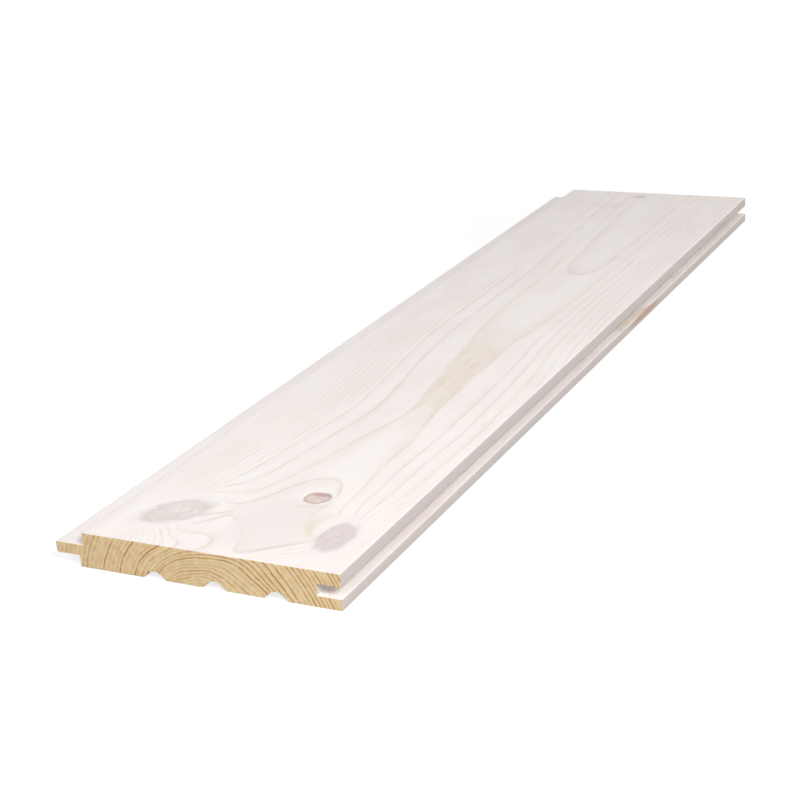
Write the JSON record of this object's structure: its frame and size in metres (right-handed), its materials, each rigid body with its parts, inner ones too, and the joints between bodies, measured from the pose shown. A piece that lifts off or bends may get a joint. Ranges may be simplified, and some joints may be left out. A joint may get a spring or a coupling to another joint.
{
  "type": "tongue and groove board",
  "caption": "Flat lining board of whitewashed pine with a long tongue on one edge, a matching groove on the other and relief channels along its back.",
  "frame": {"origin": "middle of the underside of the board's box, so the board lies on its back on Z = 0 with the finished face up", "axes": "+X across the board from the tongue to the groove, +Y along the grain from the near end to the far end, +Z out of the finished face"},
  "size_m": [0.12, 0.513, 0.014],
  "materials": {
    "whitewashed_pine": "planed pine under a thin translucent white glaze on the face, tongue and groove edges; sawn ends are bare straw-coloured end grain"
  },
  "bodies": {
    "root": {"board": "whitewashed_pine"}
  },
  "joints": []
}
